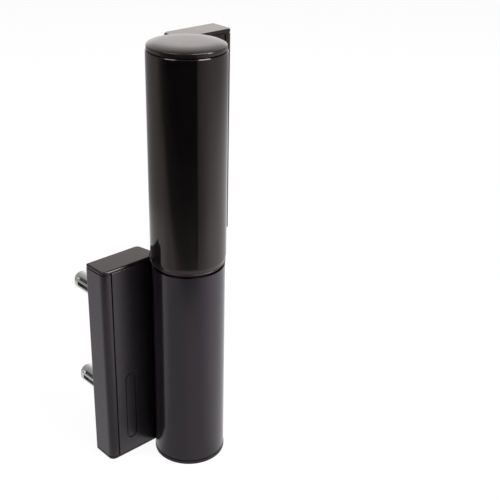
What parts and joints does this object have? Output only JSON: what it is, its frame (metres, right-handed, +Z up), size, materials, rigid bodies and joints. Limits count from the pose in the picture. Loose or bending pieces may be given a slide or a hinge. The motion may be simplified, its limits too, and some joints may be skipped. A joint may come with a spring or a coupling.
{
  "type": "hydraulic gate closer hinge",
  "caption": "Upright tubular hydraulic gate closer that doubles as the gate's hinge, with two fixing leaves, a closing spring, a screw-driven damper and expansion anchors.",
  "frame": {"origin": "on the hinge axis, at the underside of the lower tube's end cap", "axes": "+Z up along the hinge axis, +X towards the gate's leaf, +Y towards the face that the post and the gate are on"},
  "size_m": [0.131, 0.1225, 0.3542],
  "materials": {
    "black_powder_coat": "satin black powder coat on extruded aluminium",
    "black_cover": "satin black powder coat on extruded aluminium",
    "black_end_cap": "satin black moulded plastic",
    "black_ring": "satin black coat",
    "black_top_cap": "semi-gloss black moulded plastic",
    "bearing_bronze": "sintered bronze",
    "bearing_plastic": "low-friction plastic",
    "machined_steel": "turned steel",
    "dark_steel": "oiled spring and screw steel",
    "brass_screw": "machined brass",
    "bright_zinc": "bright zinc-plated steel",
    "zinc_bolt": "zinc-plated steel",
    "seal_rubber": "black nitrile rubber",
    "cast_aluminium": "machined aluminium"
  },
  "bodies": {
    "post_side": {"lower_housing": "black_powder_coat", "lower_cover": "black_cover", "lower_leaf_top_cap": "black_end_cap", "lower_leaf_bottom_cap": "black_end_cap", "tube_base_cap": "black_end_cap", "pivot_bush": "bearing_bronze", "thrust_washer": "bearing_plastic", "shaft_plug": "machined_steel", "shaft_plug_screws": "dark_steel", "drive_shaft": "machined_steel", "drive_screw": "brass_screw", "closing_spring": "dark_steel", "anchor_sleeves": "bright_zinc", "anchor_cones": "bright_zinc", "anchor_bolts": "zinc_bolt", "anchor_washers": "zinc_bolt"},
    "gate_side": {"upper_housing": "black_powder_coat", "upper_cover": "black_cover", "upper_leaf_top_cap": "black_end_cap", "upper_leaf_bottom_cap": "black_end_cap", "seam_ring": "black_ring", "pivot_spigot": "machined_steel", "spigot_screws": "dark_steel", "damper_barrel": "machined_steel", "barrel_gland": "machined_steel", "gland_seal": "seal_rubber", "guide_rods": "machined_steel", "valve_head": "cast_aluminium", "head_seal": "seal_rubber"},
    "damper_piston": {"piston": "cast_aluminium", "drive_nut": "brass_screw", "piston_ring": "bearing_plastic", "check_ball": "machined_steel"},
    "speed_valve_screw": {"speed_valve": "machined_steel"},
    "snap_valve_screw": {"snap_valve": "machined_steel"},
    "cap": {"top_cap": "black_top_cap"}
  },
  "joints": [
    {"name": "gate_swing", "type": "hinge", "parent": "post_side", "child": "gate_side", "pos_m": [0, 0, 0.1784], "axis": [0, 0, -1], "range_deg": [0, 180], "stiffness_Nm_per_rad": 4, "springref_deg": -28.65, "deforming": ["closing_spring"]},
    {"name": "piston_slide", "type": "slide", "parent": "gate_side", "child": "damper_piston", "axis": [0, 0, 1], "range_m": [0, 0.03]},
    {"name": "speed_valve_turn", "type": "hinge", "parent": "gate_side", "child": "speed_valve_screw", "pos_m": [-0.013, 0, 0.344], "axis": [0, 0, 1], "range_deg": [-180, 540]},
    {"name": "snap_valve_turn", "type": "hinge", "parent": "gate_side", "child": "snap_valve_screw", "pos_m": [0.013, 0, 0.344], "axis": [0, 0, 1], "range_deg": [-180, 540]},
    {"name": "top_cap_lift", "type": "slide", "parent": "gate_side", "child": "cap", "axis": [0, 0, 1], "range_m": [0, 0.015]}
  ],
  "couplings": [
    {"joint": "piston_slide", "follows": "gate_swing", "m_per_rad": 0.0095492}
  ]
}
